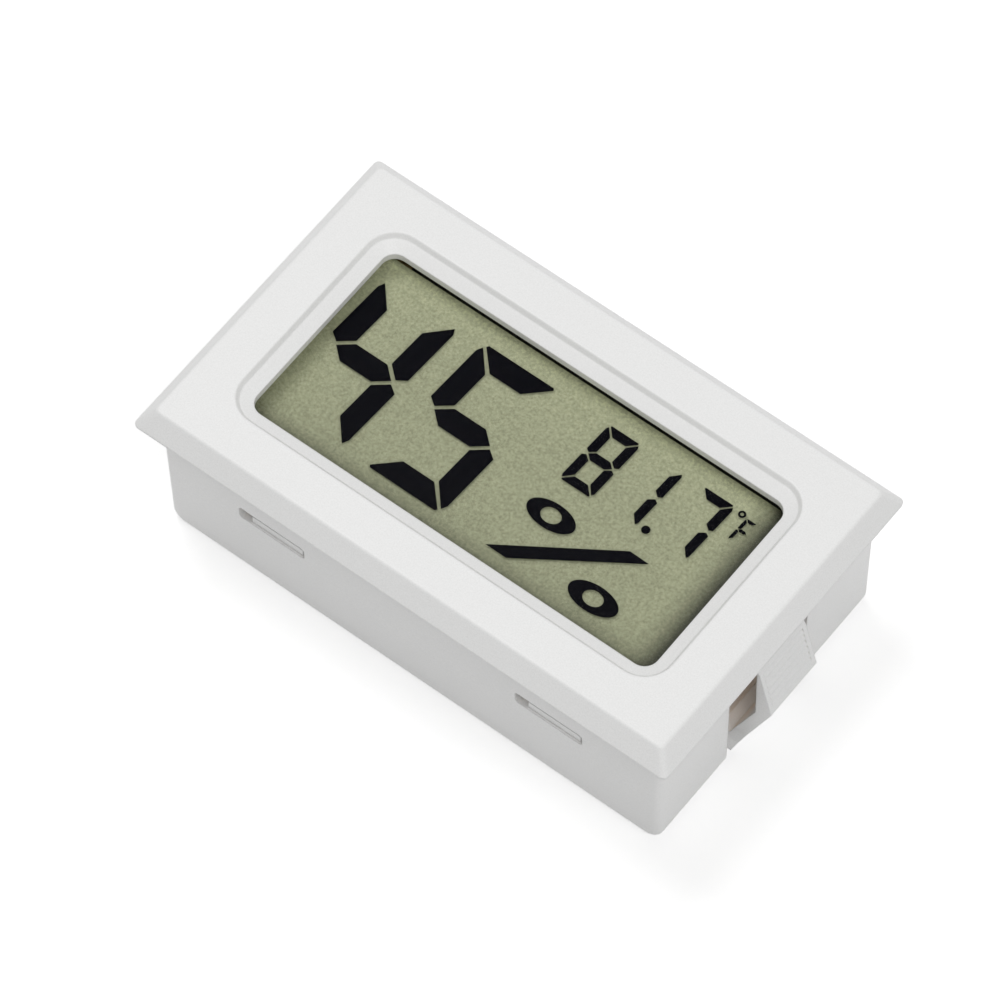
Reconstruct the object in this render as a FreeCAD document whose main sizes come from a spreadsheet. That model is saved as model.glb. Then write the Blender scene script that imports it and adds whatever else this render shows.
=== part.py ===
import FreeCAD, Part
import math
import os

import Sketcher

# A snap-in panel meter for humidity and temperature. It lies on its back with the display up.
# The origin is the centre of the back face: X runs along the display, Y across it, Z towards the viewer.

# Driving sizes in millimetres. Each is written once, and everything else is worked out from them.
SIZES = {
    # bezel of the front shell: a plate with sloping edges and a thin straight land below the slope
    "bezel_length": 48.0,
    "bezel_width": 28.6,
    "total_depth": 15.2,
    "bezel_thickness": 1.83,
    "bezel_land": 0.15,
    "bezel_slope_run": 1.18,
    "bezel_corner": 0.5,
    "bezel_hip_round": 0.6,
    "bezel_edge_round": 0.3,
    # side walls of the front shell, which narrow towards the back
    "bezel_overhang": 1.37,
    "wall_draft": 0.195,
    "wall_thickness": 1.2,
    "wall_corner": 0.6,
    "end_back_round": 1.3,
    "cavity_corner": 0.5,
    # display window: a rounded step, a sloping band and a straight lip
    "window_end_margin": 5.95,
    "window_side_margin": 5.89,
    "lip_height": 0.65,
    "band_run": 1.06,
    "band_drop": 0.5,
    "step_run": 0.27,
    "step_drop": 0.4,
    "step_corner": 2.5,
    "step_round": 0.15,
    # openings in the side walls
    "end_window_width": 9.3,
    "slot_inset": 8.455,
    "slot_length": 6.0,
    "slot_height": 1.35,
    "slot_drop": 0.95,
    "slot_corner": 0.3,
    # ribs that centre the glass and hold the board down
    "rib_width": 1.6,
    "rib_sink": 0.3,
    "long_side_rib_inset": 4.5,
    "end_rib_inset": 2.76,
    # display stack
    "display_gap": 0.35,
    "polariser_thickness": 0.2,
    "polariser_lap": 1.0,
    "polariser_clearance": 0.15,
    "glass_thickness": 0.8,
    "glass_lap": 1.0,
    "glass_clearance": 0.15,
    "contact_ledge": 1.5,
    "ledge_margin": 0.1,
    "reflector_inset": 0.25,
    "strip_margin": 0.15,
    "connector_inset": 2.0,
    "foam_width": 2.0,
    "foam_inset": 2.05,
    "foam_lap": 0.2,
    # rear tray
    "plate_thickness": 1.2,
    "plate_corner": 0.5,
    "tray_clearance": 0.18,
    "tray_wall": 0.9,
    "latch_bay": 0.55,
    "hook_length": 4.7,
    "hook_shift": 0.4,
    "hook_reach": 1.3,
    "hook_catch_gap": 0.05,
    "hook_face_height": 0.7,
    "slit_width": 0.6,
    "slit_foot": 2.4,
    "vent_inset": 1.0,
    "vent_width": 1.0,
    "vent_pitch": 2.1,
    "vent_count": 5,
    # latch arms
    "latch_width": 5.46,
    "latch_root_width": 7.0,
    "latch_root_height": 1.9,
    "latch_root_reach": 0.95,
    "latch_knee_reach": 3.815,
    "latch_face_height": 4.55,
    "latch_knee_band": 0.65,
    "latch_knee_step": 0.17,
    "latch_tip_reach": 2.68,
    "latch_tip_gap": 1.62,
    "latch_tip_land": 0.3,
    "latch_inner_reach": 2.42,
    "latch_bend_drop": 1.0,
    "latch_inner_root_reach": 0.35,
    "ridge_depth": 0.13,
    "ridge_margin": 0.4,
    # cells and their compartment
    "cell_diameter": 11.6,
    "cell_headroom": 1.2,
    "cell_gap": 0.8,
    "cell_clearance": 0.4,
    "cell_lift": 0.3,
    "cell_shoulder": 1.0,
    "cell_cap_height": 0.3,
    "cell_edge_round": 0.35,
    "compartment_wall": 1.0,
    "door_rabbet": 0.5,
    "door_clearance": 0.15,
    "door_recess": 0.1,
    "door_seat_gap": 0.05,
    "door_corner": 0.5,
    "tongue_inset": 1.95,
    "tongue_width": 2.4,
    "tongue_thickness": 0.7,
    "tongue_reach": 0.45,
    "tongue_root": 1.2,
    "snap_width": 4.0,
    "snap_height": 1.5,
    "snap_thickness": 0.5,
    "snap_nose_height": 0.5,
    "snap_nose_reach": 0.35,
    "notch_clearance": 0.2,
    "finger_notch_radius": 3.0,
    "finger_notch_depth": 0.7,
    "grip_length": 8.0,
    "grip_width": 0.5,
    "grip_depth": 0.25,
    "grip_pitch": 1.0,
    "grip_inset": 1.2,
    "grip_count": 3,
    "door_rib_length": 6.0,
    "door_rib_width": 0.8,
    "door_rib_height": 0.3,
    # contacts
    "contact_thickness": 0.25,
    "contact_width": 3.0,
    "contact_base_half": 3.2,
    "contact_tip_reach": 1.8,
    "contact_tip_flat": 0.6,
    "clip_base": 2.0,
    "clip_foot": 2.6,
    # board and what is soldered to it
    "board_gap": 2.0,
    "board_thickness": 1.2,
    "board_clearance": 0.35,
    "board_corner": 0.8,
    "chip_radius": 4.2,
    "chip_height": 1.1,
    "sensor_length": 8.0,
    "sensor_margin": 0.9,
    "sensor_thickness": 0.7,
    "sensor_lead_length": 2.4,
    "lead_diameter": 0.5,
    "sensor_lead_pitch": 2.54,
    "thermistor_diameter": 2.2,
    "thermistor_lead_length": 1.9,
    "thermistor_lift": 2.0,
    "thermistor_lead_pitch": 1.0,
    "thermistor_lead_diameter": 0.4,
    "capacitor_length": 2.0,
    "capacitor_width": 1.25,
    "capacitor_height": 0.85,
    "resistor_length": 1.6,
    "resistor_width": 0.8,
    "resistor_height": 0.45,
    "small_part_pitch": 2.3,
    "small_part_inset": 1.5,
}
RIDGES = 6
DOME_STEPS = 3
SMALL_PARTS = 3
# room for the arithmetic when an edge is picked by its place
SLACK = 0.01


class Formula:
    """A length that knows its number and the sheet formula that it comes from."""

    def __init__(self, number, text):
        self.number = number
        self.text = text

    def __add__(self, other):
        other = formula(other)
        return Formula(self.number + other.number, f"({self.text} + {other.text})")

    def __sub__(self, other):
        other = formula(other)
        return Formula(self.number - other.number, f"({self.text} - {other.text})")

    def __mul__(self, factor):
        return Formula(self.number * factor, f"({self.text} * {factor})")

    def __truediv__(self, divisor):
        return Formula(self.number / divisor, f"({self.text} / {divisor})")

    def __neg__(self):
        return Formula(-self.number, f"(-{self.text})")


def formula(value):
    """The value itself if it is a Formula, and a bare number as one that names no cell."""
    if isinstance(value, Formula):
        return value
    return Formula(value, f"({value})")


def slope_angle(run, rise):
    """The angle of a tapered side, in degrees, from its run and its rise."""
    degrees = math.degrees(math.atan2(run.number, rise.number))
    return Formula(degrees, f"atan({run.text} / {rise.text})")


class SizeTable:
    """The driving sizes as Formula values, each bound to its cell in the sheet."""

    def __init__(self, table):
        for name, value in table.items():
            setattr(self, name, Formula(value, f"Sizes.{name}"))


doc = FreeCAD.newDocument("PanelThermoHygrometer")
sheet = doc.addObject("Spreadsheet::Sheet", "Sizes")
for row, (alias, millimetres) in enumerate(SIZES.items(), start=1):
    sheet.set(f"A{row}", alias)
    sheet.set(f"B{row}", str(millimetres))
    sheet.setAlias(f"B{row}", alias)
doc.recompute()
size = SizeTable(SIZES)
ZERO = formula(0)
parts = []


def new_body(label):
    """An empty body whose label names its file."""
    body = doc.addObject("PartDesign::Body", label)
    body.Label = label
    parts.append(body)
    return body


def origin_plane(body, role):
    """One of the body's own origin planes or axes."""
    return [item for item in body.Origin.OriginFeatures if item.Role == role][0]


def new_sketch(body, role, name, lift=ZERO):
    """A sketch on one of the body's origin planes, lifted along the plane's normal.

    The normals are +Z for XY_Plane, -Y for XZ_Plane and +X for YZ_Plane.
    """
    sketch = body.newObject("Sketcher::SketchObject", name)
    sketch.AttachmentSupport = (origin_plane(body, role), "")
    sketch.MapMode = "FlatFace"
    sketch.AttachmentOffset.Base.z = lift.number
    sketch.setExpression(".AttachmentOffset.Base.z", lift.text)
    return sketch


def vector(across, up):
    """A point of a sketch from two Formula values."""
    return FreeCAD.Vector(across.number, up.number, 0)


def constrain(sketch, kind, places, value):
    """A constraint whose value is bound to the sheet."""
    index = sketch.addConstraint(Sketcher.Constraint(kind, *places, value.number))
    sketch.setExpression(f"Constraints[{index}]", value.text)


def pin_point(sketch, geometry, point, across, up):
    """Fix a point's place from the sketch's origin."""
    for kind, axis, value in (("DistanceX", -2, across), ("DistanceY", -1, up)):
        if value.number == 0:
            sketch.addConstraint(Sketcher.Constraint("PointOnObject", geometry, point, axis))
        elif value.number > 0:
            constrain(sketch, kind, (-1, 1, geometry, point), value)
        else:
            constrain(sketch, kind, (geometry, point, -1, 1), -value)


def add_outline(sketch, corners):
    """A closed outline of straight lines through (across, up) corners."""
    corners = [(formula(across), formula(up)) for across, up in corners]
    first = sketch.GeometryCount
    count = len(corners)
    for i in range(count):
        line = Part.LineSegment(vector(*corners[i]), vector(*corners[(i + 1) % count]))
        sketch.addGeometry(line, False)
    for i in range(count):
        following = first + (i + 1) % count
        sketch.addConstraint(Sketcher.Constraint("Coincident", first + i, 2, following, 1))
        pin_point(sketch, first + i, 1, *corners[i])


def add_rectangle(sketch, low_x, high_x, low_y, high_y):
    """A rectangle with sharp corners."""
    add_outline(sketch, [(low_x, low_y), (high_x, low_y), (high_x, high_y), (low_x, high_y)])


def add_rounded_rectangle(sketch, half_x, half_y, radius, centre=(ZERO, ZERO)):
    """A rectangle with one radius at its four corners."""
    first = sketch.GeometryCount
    middles = []
    for side_x, side_y in ((1, 1), (-1, 1), (-1, -1), (1, -1)):
        middles.append((centre[0] + (half_x - radius) * side_x, centre[1] + (half_y - radius) * side_y))
    quarter = math.pi / 2
    normal = FreeCAD.Vector(0, 0, 1)
    for i, middle in enumerate(middles):
        circle = Part.Circle(vector(*middle), normal, radius.number)
        sketch.addGeometry(Part.ArcOfCircle(circle, i * quarter, (i + 1) * quarter), False)
    for i in range(4):
        start = sketch.getPoint(first + i, 2)
        end = sketch.getPoint(first + (i + 1) % 4, 1)
        sketch.addGeometry(Part.LineSegment(start, end), False)
    for i in range(4):
        line = first + 4 + i
        sketch.addConstraint(Sketcher.Constraint("Tangent", first + i, 2, line, 1))
        sketch.addConstraint(Sketcher.Constraint("Tangent", line, 2, first + (i + 1) % 4, 1))
        pin_point(sketch, first + i, 3, *middles[i])
        constrain(sketch, "Radius", (first + i,), radius)


def add_circle(sketch, across, up, radius):
    """A full circle."""
    index = sketch.addGeometry(Part.Circle(vector(across, up), FreeCAD.Vector(0, 0, 1), radius.number), False)
    pin_point(sketch, index, 3, across, up)
    constrain(sketch, "Radius", (index,), radius)


def extrude(body, kind, sketch, length, name, both_ways, taper):
    """A Pad or a Pocket of a sketch: a pad goes along the normal, a pocket against it."""
    feature = body.newObject(f"PartDesign::{kind}", name)
    feature.Profile = sketch
    if both_ways:
        feature.SideType = "Symmetric"
    feature.Length = length.number
    feature.setExpression("Length", length.text)
    if taper is not None:
        feature.TaperAngle = taper.number
        feature.setExpression("TaperAngle", taper.text)
    return feature


def pad(body, sketch, length, name, both_ways=False, taper=None):
    """Material added along the sketch's normal, wider as it goes where the taper is positive."""
    return extrude(body, "Pad", sketch, length, name, both_ways, taper)


def pocket(body, sketch, length, name, both_ways=False, taper=None):
    """Material cut away against the sketch's normal, wider as it goes where the taper is positive."""
    return extrude(body, "Pocket", sketch, length, name, both_ways, taper)


def round_edges(body, base, test, radius, name):
    """A fillet on the edges of the base feature whose bounding box passes the test."""
    doc.recompute()
    edges = [f"Edge{i + 1}" for i, edge in enumerate(base.Shape.Edges) if test(edge.BoundBox)]
    feature = body.newObject("PartDesign::Fillet", name)
    feature.Base = (base, edges)
    feature.Radius = radius.number
    feature.setExpression("Radius", radius.text)
    return feature


def mirror(body, originals, role, name):
    """The originals once more on the other side of one of the body's planes."""
    feature = body.newObject("PartDesign::Mirrored", name)
    feature.Originals = originals
    feature.MirrorPlane = (origin_plane(body, role), [""])
    body.Tip = feature
    return feature


def repeat(body, original, axis_role, pitch, count, name):
    """A row of copies along one of the body's axes."""
    feature = body.newObject("PartDesign::LinearPattern", name)
    feature.Originals = [original]
    feature.Direction = (origin_plane(body, axis_role), [""])
    feature.Mode = "Spacing"
    feature.Offset = pitch.number
    feature.setExpression("Offset", pitch.text)
    feature.Occurrences = int(count.number)
    feature.setExpression("Occurrences", count.text)
    body.Tip = feature
    return feature


# Levels above the back face, worked out once for every piece.
face = size.total_depth
bezel_back = face - size.bezel_thickness
step_foot = face - size.step_drop
lip_top = step_foot - size.band_drop
plate_inside = lip_top - size.lip_height
front_glass_top = plate_inside - size.display_gap - size.polariser_thickness
front_glass_back = front_glass_top - size.glass_thickness
rear_glass_back = front_glass_back - size.glass_thickness
reflector_back = rear_glass_back - size.polariser_thickness
board_front = reflector_back - size.board_gap
board_back = board_front - size.board_thickness
slot_back = board_back - size.slot_drop
cell_base = size.plate_thickness + size.cell_lift
cell_top = board_back - size.cell_headroom

# Half sizes across, worked out once for every piece.
bezel_x = size.bezel_length / 2
bezel_y = size.bezel_width / 2
wall_x = bezel_x - size.bezel_overhang
wall_y = bezel_y - size.bezel_overhang
back_x = wall_x - size.wall_draft
back_y = wall_y - size.wall_draft
inside_x = wall_x - size.wall_thickness
inside_y = wall_y - size.wall_thickness
inside_back_x = back_x - size.wall_thickness
inside_back_y = back_y - size.wall_thickness
window_x = bezel_x - size.window_end_margin
window_y = bezel_y - size.window_side_margin
polariser_x = window_x + size.polariser_lap
polariser_y = window_y + size.polariser_lap
glass_x = polariser_x + size.polariser_clearance + size.glass_lap
glass_y = polariser_y + size.polariser_clearance + size.glass_lap
plate_x = inside_back_x - size.tray_clearance
plate_y = inside_back_y - size.tray_clearance
tray_x = plate_x - size.latch_bay
slot_x = plate_x - size.slot_inset
compartment_x = size.cell_gap / 2 + size.cell_diameter + size.cell_clearance
compartment_y = size.cell_diameter / 2 + size.cell_clearance
rabbet_x = compartment_x + size.door_rabbet
rabbet_y = compartment_y + size.door_rabbet
cell_x = (size.cell_diameter + size.cell_gap) / 2
door_x = rabbet_x - size.door_clearance
door_y = rabbet_y - size.door_clearance
tongue_x = door_x - size.tongue_inset
bay_low = compartment_x + size.compartment_wall
bay_high = tray_x - size.tray_wall
bay_middle = (bay_low + bay_high) / 2
bay_half = (bay_high - bay_low) / 2


def build_front_shell():
    """Bezel, window and side walls: one moulding, open at the back."""
    body = new_body("front_shell")
    walls_sketch = new_sketch(body, "XZ_Plane", "wall_profile")
    add_outline(walls_sketch, [(-back_x, ZERO), (back_x, ZERO), (wall_x, bezel_back), (-wall_x, bezel_back)])
    pad(body, walls_sketch, wall_y * 2, "walls", both_ways=True)
    draft_cut = new_sketch(body, "YZ_Plane", "draft_cut_profiles")
    for side in (1, -1):
        add_outline(draft_cut, [(back_y * side, ZERO), (wall_y * side, ZERO), (wall_y * side, bezel_back)])
    walls = pocket(body, draft_cut, bezel_x * 2, "draft_cuts", both_ways=True)

    def is_end_back_edge(box):
        return box.ZMax < SLACK and box.XLength < SLACK

    walls = round_edges(body, walls, is_end_back_edge, size.end_back_round, "end_back_rounding")

    def is_long_back_edge(box):
        return box.ZMax < SLACK and box.XLength > back_x.number

    round_edges(body, walls, is_long_back_edge, size.wall_corner, "corner_rounding")

    land = new_sketch(body, "XY_Plane", "bezel_outline", bezel_back)
    add_rounded_rectangle(land, bezel_x, bezel_y, size.bezel_corner)
    pad(body, land, size.bezel_land, "bezel_land_pad")
    slope_foot = bezel_back + size.bezel_land
    face_x = bezel_x - size.bezel_slope_run
    face_y = bezel_y - size.bezel_slope_run
    slope = new_sketch(body, "XZ_Plane", "bezel_slope_profile")
    add_outline(slope, [(-bezel_x, slope_foot), (bezel_x, slope_foot), (face_x, face), (-face_x, face)])
    pad(body, slope, bezel_y * 2, "bezel_slope", both_ways=True)
    slope_cut = new_sketch(body, "YZ_Plane", "slope_cut_profiles")
    for side in (1, -1):
        add_outline(slope_cut, [(bezel_y * side, slope_foot), (bezel_y * side, face), (face_y * side, face)])
    bezel = pocket(body, slope_cut, bezel_x * 2, "slope_cuts", both_ways=True)

    def is_hip(box):
        return box.ZLength > (face - slope_foot).number - SLACK and box.ZMin > slope_foot.number - SLACK

    bezel = round_edges(body, bezel, is_hip, size.bezel_hip_round, "bezel_hip_rounding")

    def is_face_edge(box):
        return box.ZMin > face.number - SLACK

    round_edges(body, bezel, is_face_edge, size.bezel_edge_round, "face_rounding")

    draft = slope_angle(size.wall_draft, bezel_back)
    cavity = new_sketch(body, "XY_Plane", "cavity_outline")
    add_rounded_rectangle(cavity, inside_back_x, inside_back_y, size.cavity_corner)
    pocket(body, cavity, front_glass_top, "cavity", taper=draft).Reversed = True

    film = new_sketch(body, "XY_Plane", "film_recess_outline", plate_inside)
    film_x = polariser_x + size.polariser_clearance
    film_y = polariser_y + size.polariser_clearance
    add_rectangle(film, -film_x, film_x, -film_y, film_y)
    pocket(body, film, size.display_gap + size.polariser_thickness, "film_recess")

    step_x = window_x + size.band_run
    step_y = window_y + size.band_run
    step = new_sketch(body, "XY_Plane", "step_outline", face)
    add_rounded_rectangle(step, step_x + size.step_run, step_y + size.step_run, size.step_corner)
    pocket(body, step, size.step_drop, "step", taper=-slope_angle(size.step_run, size.step_drop))
    band = new_sketch(body, "XY_Plane", "band_outline", step_foot)
    add_rounded_rectangle(band, step_x, step_y, size.step_corner - size.step_run)
    pocket(body, band, size.band_drop, "band", taper=-slope_angle(size.band_run, size.band_drop))
    opening = new_sketch(body, "XY_Plane", "window_outline", lip_top)
    window_corner = size.step_corner - size.step_run - size.band_run
    add_rounded_rectangle(opening, window_x, window_y, window_corner)
    window = pocket(body, opening, size.lip_height + size.display_gap, "window")

    outer_x = (step_x + size.step_run).number + SLACK
    outer_y = (step_y + size.step_run).number + SLACK

    def is_step_edge(box):
        return box.ZMin > face.number - SLACK and box.XMax < outer_x and box.YMax < outer_y

    round_edges(body, window, is_step_edge, size.step_round, "step_rounding")

    ribs = new_sketch(body, "XY_Plane", "rib_outlines", front_glass_top)
    half = size.rib_width / 2
    gap_x = glass_x + size.glass_clearance
    gap_y = glass_y + size.glass_clearance
    for side_x in (1, -1):
        for side_y in (1, -1):
            x = (glass_x - size.long_side_rib_inset) * side_x
            ends = sorted((gap_y * side_y, (inside_y + size.rib_sink) * side_y), key=lambda end: end.number)
            add_rectangle(ribs, x - half, x + half, *ends)
            y = (glass_y - size.end_rib_inset) * side_y
            ends = sorted((gap_x * side_x, (inside_x + size.rib_sink) * side_x), key=lambda end: end.number)
            add_rectangle(ribs, *ends, y - half, y + half)
    rib_pad = pad(body, ribs, front_glass_top - board_front, "ribs")
    rib_pad.Reversed = True

    end_windows = new_sketch(body, "XY_Plane", "end_window_outlines")
    half = size.end_window_width / 2
    add_rectangle(end_windows, inside_back_x - size.rib_sink, bezel_x, -half, half)
    add_rectangle(end_windows, -bezel_x, -(inside_back_x - size.rib_sink), -half, half)
    pocket(body, end_windows, bezel_back * 2, "end_windows", both_ways=True)

    slots = new_sketch(body, "XZ_Plane", "slot_outlines")
    middle = slot_back + size.slot_height / 2
    for side in (1, -1):
        add_rounded_rectangle(slots, size.slot_length / 2, size.slot_height / 2, size.slot_corner,
                              (slot_x * side, middle))
    pocket(body, slots, size.bezel_width, "slots", both_ways=True)


def add_latch_arm(body):
    """One latch arm: a sloping leaf, a knee, a wedge face with grooves across it and a thin tip."""
    tip = (plate_x + size.latch_tip_reach, bezel_back - size.latch_tip_gap)
    knee = (plate_x + size.latch_knee_reach, tip[1] - size.latch_face_height)
    knee_top = (knee[0] - size.latch_knee_step, knee[1] + size.latch_knee_band)
    inner = plate_x + size.latch_inner_reach
    arm = new_sketch(body, "XZ_Plane", "latch_profile")
    add_outline(arm, [
        (plate_x - size.rib_sink, ZERO),
        (plate_x + size.latch_root_reach, ZERO),
        knee,
        knee_top,
        tip,
        (tip[0] - size.latch_knee_step, tip[1] + size.latch_tip_land),
        (inner, tip[1] + size.latch_tip_land),
        (inner, knee[1] - size.latch_bend_drop),
        (plate_x + size.latch_inner_root_reach, size.plate_thickness),
        (plate_x - size.rib_sink, size.plate_thickness),
    ])
    arm_pad = pad(body, arm, size.latch_root_width, "latch_arm", both_ways=True)

    grooves = new_sketch(body, "XZ_Plane", "latch_groove_profiles")
    run = tip[0] - knee_top[0]
    rise = tip[1] - knee_top[1]
    # where a groove starts, is deepest and ends, as shares of one ridge's length
    start_place, deep_place, end_place = 0.05, 0.45, 0.8
    for ridge in range(RIDGES):
        start = (ridge + start_place) / RIDGES
        deep = (ridge + deep_place) / RIDGES
        end = (ridge + end_place) / RIDGES
        add_outline(grooves, [
            (knee_top[0] + run * start, knee_top[1] + rise * start),
            (knee_top[0] + run * deep - size.ridge_depth, knee_top[1] + rise * deep),
            (knee_top[0] + run * end, knee_top[1] + rise * end),
        ])
    groove_length = size.latch_width - size.ridge_margin * 2
    groove_cut = pocket(body, grooves, groove_length, "latch_grooves", both_ways=True)

    flanks = new_sketch(body, "YZ_Plane", "latch_flanks", plate_x)
    root = size.latch_root_width / 2
    waist = size.latch_width / 2
    clear = size.end_window_width / 2
    top = size.total_depth
    # the waist starts with a hollow curve, drawn with one more corner at this share of its height and width
    curve_share = 0.35
    for side in (1, -1):
        add_outline(flanks, [
            (root * side, ZERO),
            ((waist + (root - waist) * curve_share) * side, size.latch_root_height * curve_share),
            (waist * side, size.latch_root_height),
            (waist * side, top),
            (clear * side, top),
            (clear * side, ZERO),
        ])
    flank_cut = pocket(body, flanks, size.latch_knee_reach + size.ridge_depth, "latch_flank_cut")
    flank_cut.Reversed = True
    return [arm_pad, groove_cut, flank_cut]


def build_rear_cover():
    """Tray that snaps in from the back, with the battery compartment, vents, hooks and latch arms."""
    body = new_body("rear_cover")
    plate = new_sketch(body, "XY_Plane", "plate_outline")
    add_rounded_rectangle(plate, plate_x, plate_y, size.plate_corner)
    pad(body, plate, size.plate_thickness, "plate")

    wall_height = board_back - size.plate_thickness
    tray = new_sketch(body, "XY_Plane", "tray_wall_outline", size.plate_thickness)
    inner_y = plate_y - size.tray_wall
    inner_x = tray_x - size.tray_wall
    add_rectangle(tray, -tray_x, tray_x, -plate_y, plate_y)
    add_rectangle(tray, -inner_x, inner_x, -inner_y, inner_y)
    pad(body, tray, wall_height, "tray_walls")

    ring = new_sketch(body, "XY_Plane", "compartment_outline", size.plate_thickness)
    outer_x = compartment_x + size.compartment_wall
    outer_y = compartment_y + size.compartment_wall
    add_rectangle(ring, -outer_x, outer_x, -outer_y, outer_y)
    add_rectangle(ring, -compartment_x, compartment_x, -compartment_y, compartment_y)
    pad(body, ring, wall_height, "compartment_walls")

    opening = new_sketch(body, "XY_Plane", "door_opening_outline")
    add_rounded_rectangle(opening, rabbet_x, rabbet_y, size.door_corner)
    pocket(body, opening, size.plate_thickness * 2, "door_opening", both_ways=True)

    notch_middle = compartment_y + size.compartment_wall / 2
    notch_length = size.compartment_wall + size.notch_clearance
    tongue_notches = new_sketch(body, "XZ_Plane", "tongue_notch_outlines", -notch_middle)
    half = size.tongue_width / 2 + size.notch_clearance
    notch_top = size.plate_thickness + size.tongue_thickness + size.notch_clearance + size.door_seat_gap
    for side in (1, -1):
        middle = tongue_x * side
        add_rectangle(tongue_notches, middle - half, middle + half, size.plate_thickness, notch_top)
    pocket(body, tongue_notches, notch_length, "tongue_notches", both_ways=True)

    snap_notch = new_sketch(body, "XZ_Plane", "snap_notch_outline", notch_middle)
    half = size.snap_width / 2 + size.notch_clearance
    add_rectangle(snap_notch, -half, half, size.plate_thickness,
                  size.plate_thickness + size.snap_height + size.notch_clearance)
    pocket(body, snap_notch, notch_length, "snap_notch", both_ways=True)

    finger_notch = new_sketch(body, "XY_Plane", "finger_notch_outline")
    add_circle(finger_notch, ZERO, -rabbet_y, size.finger_notch_radius)
    pocket(body, finger_notch, size.finger_notch_depth * 2, "finger_notch", both_ways=True)

    vent = new_sketch(body, "XY_Plane", "vent_outline")
    first_vent = -size.vent_pitch * ((size.vent_count.number - 1) / 2)
    end_share = 0.98
    add_rounded_rectangle(vent, bay_half - size.vent_inset, size.vent_width / 2,
                          size.vent_width / 2 * end_share, (bay_middle, first_vent))
    cut = pocket(body, vent, size.plate_thickness * 2, "vent", both_ways=True)
    repeat(body, cut, "Y_Axis", size.vent_pitch, size.vent_count, "vents")

    slits = new_sketch(body, "XZ_Plane", "hook_slit_outlines", -plate_y)
    for side in (1, -1):
        for hand in (1, -1):
            near_edge = slot_x * side + size.hook_shift + size.hook_length / 2 * hand
            far_edge = near_edge + size.slit_width * hand
            low, high = sorted((near_edge, far_edge), key=lambda edge: edge.number)
            add_rectangle(slits, low, high, size.slit_foot, board_back + size.slit_width)
    slit_cut = pocket(body, slits, (size.tray_wall + size.rib_sink) * 2, "hook_slits", both_ways=True)
    mirror(body, [slit_cut], "XZ_Plane", "hook_slits_far_side")

    catch = slot_back + size.hook_catch_gap
    for name, end in (("right", 1), ("left", -1)):
        hooks = new_sketch(body, "YZ_Plane", f"{name}_hook_profiles", slot_x * end + size.hook_shift)
        for side in (1, -1):
            add_outline(hooks, [
                ((plate_y - size.rib_sink) * side, catch),
                ((plate_y + size.hook_reach) * side, catch),
                ((plate_y + size.hook_reach) * side, catch + size.hook_face_height),
                (plate_y * side, board_back),
                ((plate_y - size.rib_sink) * side, board_back),
            ])
        pad(body, hooks, size.hook_length, f"{name}_hooks", both_ways=True)

    mirror(body, add_latch_arm(body), "YZ_Plane", "other_latch_arm")


def build_battery_door():
    """Door of the battery compartment: two tongues at +Y and a snap at -Y."""
    body = new_body("battery_door")
    inner_face = size.plate_thickness - size.door_seat_gap
    plate = new_sketch(body, "XY_Plane", "door_outline", size.door_recess)
    add_rounded_rectangle(plate, door_x, door_y, size.door_corner)
    pad(body, plate, inner_face - size.door_recess, "door_plate")

    tongue_low = size.plate_thickness + size.door_seat_gap
    tongue_top = tongue_low + size.tongue_thickness
    tongues = new_sketch(body, "YZ_Plane", "tongue_profile", tongue_x)
    add_outline(tongues, [
        (door_y - size.tongue_root, size.door_recess + size.door_rib_height),
        (door_y, size.door_recess + size.door_rib_height),
        (door_y, tongue_low),
        (rabbet_y + size.tongue_reach, tongue_low),
        (rabbet_y + size.tongue_reach, tongue_top),
        (door_y - size.tongue_root, tongue_top),
    ])
    tongue_pad = pad(body, tongues, size.tongue_width, "tongue", both_ways=True)
    mirror(body, [tongue_pad], "YZ_Plane", "other_tongue")

    snap = new_sketch(body, "YZ_Plane", "snap_profile")
    leaf = compartment_y
    nose = leaf + size.snap_nose_reach
    nose_back = size.plate_thickness + size.door_seat_gap
    add_outline(snap, [
        (-(leaf - size.snap_thickness), size.door_recess + size.door_rib_height),
        (-(leaf - size.snap_thickness), size.plate_thickness + size.snap_height),
        (-leaf, size.plate_thickness + size.snap_height),
        (-nose, nose_back + size.snap_nose_height),
        (-nose, nose_back),
        (-leaf, nose_back),
        (-leaf, size.door_recess + size.door_rib_height),
    ])
    pad(body, snap, size.snap_width, "snap", both_ways=True)

    ribs = new_sketch(body, "XY_Plane", "door_rib_outlines", inner_face)
    half_length = size.door_rib_length / 2
    half_width = size.door_rib_width / 2
    for side in (1, -1):
        middle = cell_x * side
        add_rectangle(ribs, middle - half_length, middle + half_length, -half_width, half_width)
    pad(body, ribs, size.door_rib_height, "door_ribs")

    groove = new_sketch(body, "XY_Plane", "grip_groove_outline", size.door_recess)
    low = -(door_y - size.grip_inset)
    half_length = size.grip_length / 2
    add_rectangle(groove, -half_length, half_length, low, low + size.grip_width)
    cut = pocket(body, groove, size.grip_depth * 2, "grip_groove", both_ways=True)
    repeat(body, cut, "Y_Axis", size.grip_pitch, size.grip_count, "grip_grooves")


def build_slab(label, half_x, half_y, bottom, thickness, middle_y=ZERO, radius=None):
    """A flat piece of the display stack or the board."""
    body = new_body(label)
    outline = new_sketch(body, "XY_Plane", label + "_outline", bottom)
    if radius is None:
        add_rectangle(outline, -half_x, half_x, middle_y - half_y, middle_y + half_y)
    else:
        add_rounded_rectangle(outline, half_x, half_y, radius, (ZERO, middle_y))
    pad(body, outline, thickness, label + "_pad")


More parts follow.
